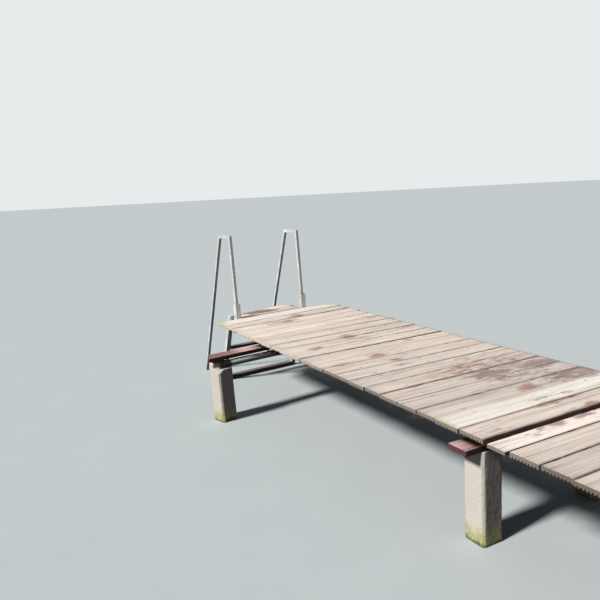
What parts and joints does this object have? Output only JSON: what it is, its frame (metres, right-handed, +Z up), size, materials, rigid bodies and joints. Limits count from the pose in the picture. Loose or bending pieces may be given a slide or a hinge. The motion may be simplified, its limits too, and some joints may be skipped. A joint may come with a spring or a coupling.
{
  "type": "wooden jetty",
  "caption": "Weathered wooden jetty: cross boards on bearers and concrete piers, with a swimming ladder between two looped handrails at its lake end.",
  "frame": {"origin": "on the water line, which is the level of the piers' feet, in the middle of the whole jetty's length and width", "axes": "+X along the jetty, out over the lake; +Y to the left of someone who walks out; +Z up"},
  "size_m": [6.4046, 1.8706, 1.338],
  "materials": {
    "concrete": "rough",
    "dark_timber": "rough",
    "pole_wood": "rough",
    "stained_plank": "rough",
    "deck_board": "rough",
    "bleached_board": "rough",
    "new_board": "rough",
    "plain_board": "rough",
    "galvanised_steel": "dull",
    "tread_wood": "rough"
  },
  "bodies": {
    "root": {"pier_1_left": "concrete", "pier_1_right": "concrete", "pier_2_left": "concrete", "pier_2_right": "concrete", "pier_3_left": "concrete", "pier_3_right": "concrete", "packer_left": "dark_timber", "packer_right": "dark_timber", "cross_pole": "pole_wood", "cross_plank_1": "stained_plank", "cross_plank_2": "stained_plank", "cross_plank_3": "stained_plank", "bearer_left": "dark_timber", "bearer_middle": "dark_timber", "bearer_right": "dark_timber", "end_beam": "dark_timber", "step_arm_left": "galvanised_steel", "step_arm_right": "galvanised_steel", "short_board_inner": "deck_board", "short_board_outer": "deck_board", "end_board": "bleached_board", "deck_boards_1": "deck_board", "deck_boards_2": "deck_board", "deck_boards_3": "deck_board", "pale_board": "new_board", "deck_boards_4": "deck_board", "loose_board": "plain_board", "deck_boards_5": "deck_board", "deck_boards_6": "deck_board", "deck_boards_7": "deck_board", "sleeve_left": "galvanised_steel", "sleeve_right": "galvanised_steel", "handrail_left": "galvanised_steel", "handrail_right": "galvanised_steel", "ladder_arm_left": "galvanised_steel", "ladder_arm_right": "galvanised_steel", "ladder_stile_left": "galvanised_steel", "ladder_stile_right": "galvanised_steel", "ladder_tread_upper": "tread_wood", "ladder_tread_lower": "tread_wood"}
  },
  "joints": []
}
